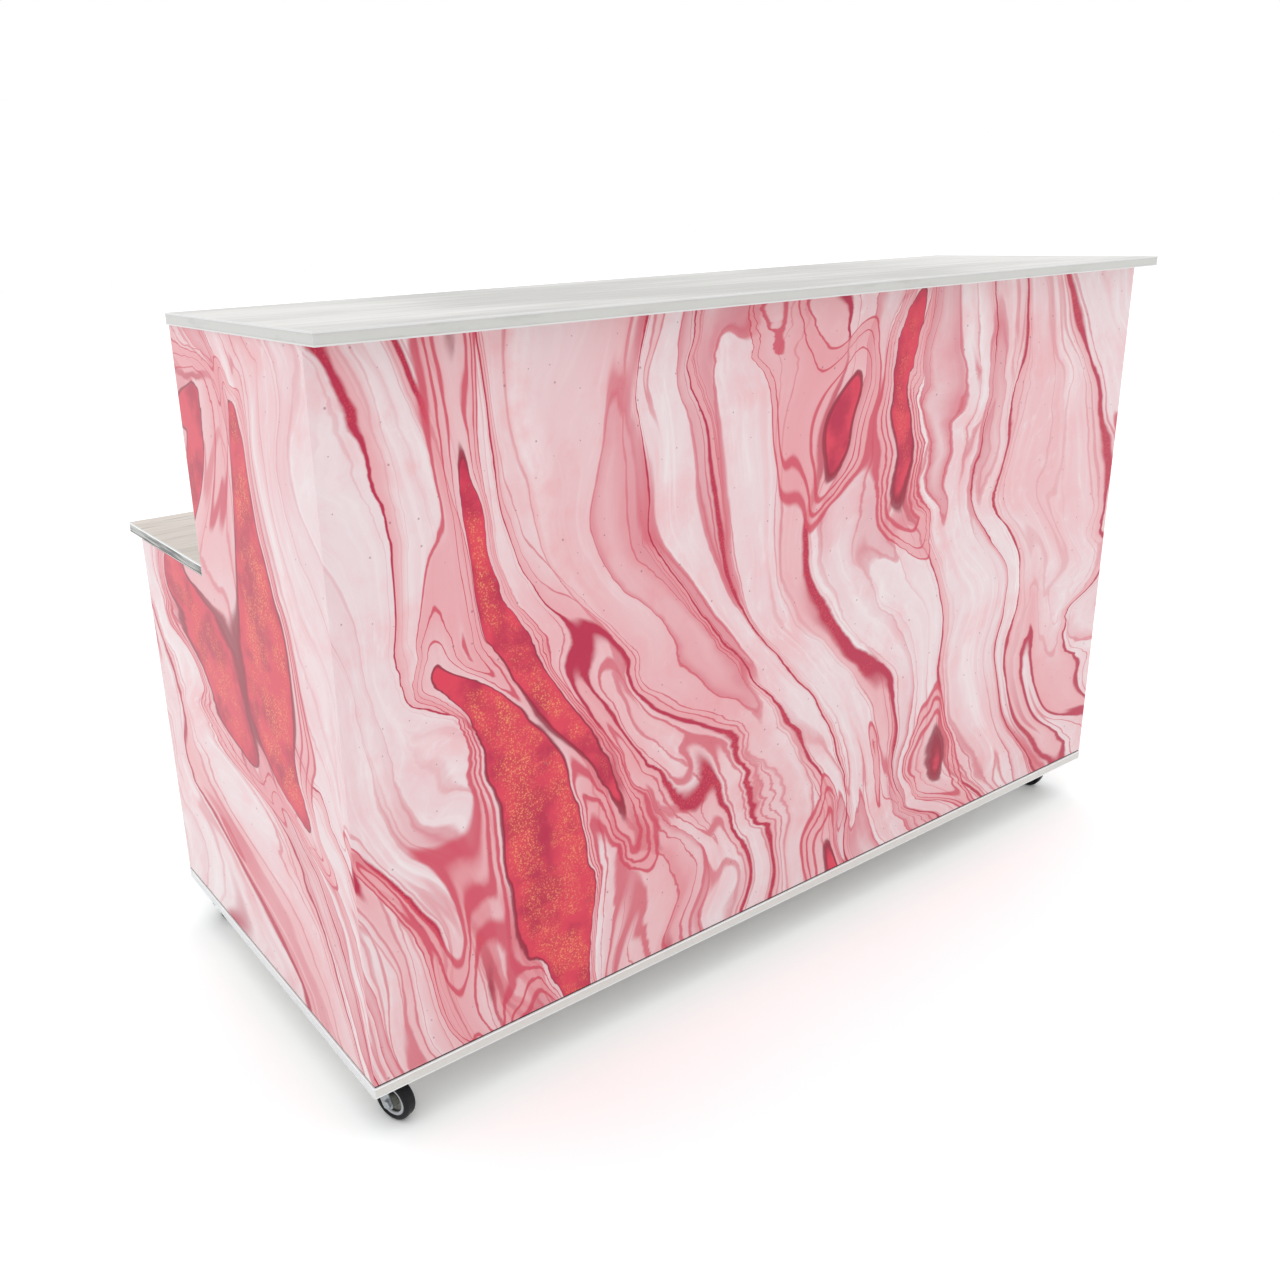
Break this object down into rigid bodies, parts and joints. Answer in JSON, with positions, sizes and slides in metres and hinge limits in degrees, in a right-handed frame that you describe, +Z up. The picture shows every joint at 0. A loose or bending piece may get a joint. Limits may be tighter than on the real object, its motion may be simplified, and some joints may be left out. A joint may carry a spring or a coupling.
{
  "type": "bar counter",
  "caption": "Rolling bar counter with printed front and stepped sides, high bar top, lower work top, open shelves behind and swivel casters.",
  "frame": {"origin": "on the floor, at the middle of the counter's plan", "axes": "+X along the counter to the right as a guest sees it, +Y from the guest's side to the bartender's side, +Z up"},
  "size_m": [1.837, 0.921, 1.21],
  "materials": {
    "printed_sheet": "gloss print, marbled pink, white and crimson",
    "white_board": "matt white melamine on chipboard",
    "top_board": "off-white laminate with faint grain",
    "work_board": "grey-beige streaked laminate",
    "edge_band": "pale grey edge band",
    "base_trim": "satin pale aluminium",
    "work_trim": "polished aluminium",
    "zinc_steel": "zinc plated",
    "wheel_plastic": "grey moulded plastic",
    "black_rubber": "matt black rubber",
    "pedal_paint": "black painted steel"
  },
  "bodies": {
    "counter": {"bar_top_board": "top_board", "bar_top_edge_band": "edge_band", "bar_top_rear_rail": "white_board", "base_deck": "white_board", "base_edge_trim": "base_trim", "caster_screws": "zinc_steel", "centre_divider": "white_board", "corner_brackets": "zinc_steel", "front_board": "white_board", "front_graphic_panel": "printed_sheet", "front_left_caster_plate": "zinc_steel", "front_left_kingpin": "zinc_steel", "front_right_caster_plate": "zinc_steel", "front_right_kingpin": "zinc_steel", "left_graphic_panel": "printed_sheet", "left_shelf": "white_board", "left_side_board": "white_board", "left_side_edge_band": "edge_band", "rear_left_caster_plate": "zinc_steel", "rear_left_kingpin": "zinc_steel", "rear_right_caster_plate": "zinc_steel", "rear_right_kingpin": "zinc_steel", "right_graphic_panel": "printed_sheet", "right_shelf": "white_board", "right_side_board": "white_board", "right_side_edge_band": "edge_band", "shelf_edge_bands": "edge_band", "shelf_pins": "zinc_steel", "work_top_board": "work_board", "work_top_cleats": "zinc_steel", "work_top_edge_trim": "work_trim", "work_top_rear_rail": "white_board"},
    "front_left_swivel": {"front_left_fork": "zinc_steel", "front_left_axle": "zinc_steel"},
    "front_left_wheel": {"front_left_wheel_core": "wheel_plastic", "front_left_tyre": "black_rubber"},
    "front_right_swivel": {"front_right_fork": "zinc_steel", "front_right_axle": "zinc_steel"},
    "front_right_wheel": {"front_right_wheel_core": "wheel_plastic", "front_right_tyre": "black_rubber"},
    "rear_left_swivel": {"rear_left_fork": "zinc_steel", "rear_left_axle": "zinc_steel", "rear_left_brake_pin": "zinc_steel"},
    "rear_left_wheel": {"rear_left_wheel_core": "wheel_plastic", "rear_left_tyre": "black_rubber"},
    "rear_left_brake": {"rear_left_brake_pedal": "pedal_paint"},
    "rear_right_swivel": {"rear_right_fork": "zinc_steel", "rear_right_axle": "zinc_steel", "rear_right_brake_pin": "zinc_steel"},
    "rear_right_wheel": {"rear_right_wheel_core": "wheel_plastic", "rear_right_tyre": "black_rubber"},
    "rear_right_brake": {"rear_right_brake_pedal": "pedal_paint"}
  },
  "joints": [
    {"name": "front_left_swivel_turn", "type": "hinge", "parent": "counter", "child": "front_left_swivel", "pos_m": [-0.8715, -0.3485, 0.0745], "axis": [0, 0, 1], "continuous": true},
    {"name": "front_left_wheel_roll", "type": "hinge", "parent": "front_left_swivel", "child": "front_left_wheel", "pos_m": [-0.86261, -0.37293, 0.034], "axis": [0.9397, 0.342, 0], "continuous": true},
    {"name": "front_right_swivel_turn", "type": "hinge", "parent": "counter", "child": "front_right_swivel", "pos_m": [0.8715, -0.3485, 0.0745], "axis": [0, 0, 1], "continuous": true},
    {"name": "front_right_wheel_roll", "type": "hinge", "parent": "front_right_swivel", "child": "front_right_wheel", "pos_m": [0.86699, -0.32289, 0.034], "axis": [-0.9848, -0.1736, 0], "continuous": true},
    {"name": "rear_left_swivel_turn", "type": "hinge", "parent": "counter", "child": "rear_left_swivel", "pos_m": [-0.8715, 0.3205, 0.0745], "axis": [0, 0, 1], "continuous": true},
    {"name": "rear_left_wheel_roll", "type": "hinge", "parent": "rear_left_swivel", "child": "rear_left_wheel", "pos_m": [-0.86609, 0.34593, 0.034], "axis": [-0.9781, 0.2079, 0], "continuous": true},
    {"name": "rear_left_brake_press", "type": "hinge", "parent": "rear_left_swivel", "child": "rear_left_brake", "pos_m": [-0.8612, 0.36894, 0.06759], "axis": [-0.9781, 0.2079, 0], "range_deg": [0, 20]},
    {"name": "rear_right_swivel_turn", "type": "hinge", "parent": "counter", "child": "rear_right_swivel", "pos_m": [0.8715, 0.3205, 0.0745], "axis": [0, 0, 1], "continuous": true},
    {"name": "rear_right_wheel_roll", "type": "hinge", "parent": "rear_right_swivel", "child": "rear_right_wheel", "pos_m": [0.86477, 0.34561, 0.034], "axis": [-0.9659, -0.2588, 0], "continuous": true},
    {"name": "rear_right_brake_press", "type": "hinge", "parent": "rear_right_swivel", "child": "rear_right_brake", "pos_m": [0.85868, 0.36833, 0.06759], "axis": [-0.9659, -0.2588, 0], "range_deg": [0, 20]}
  ]
}
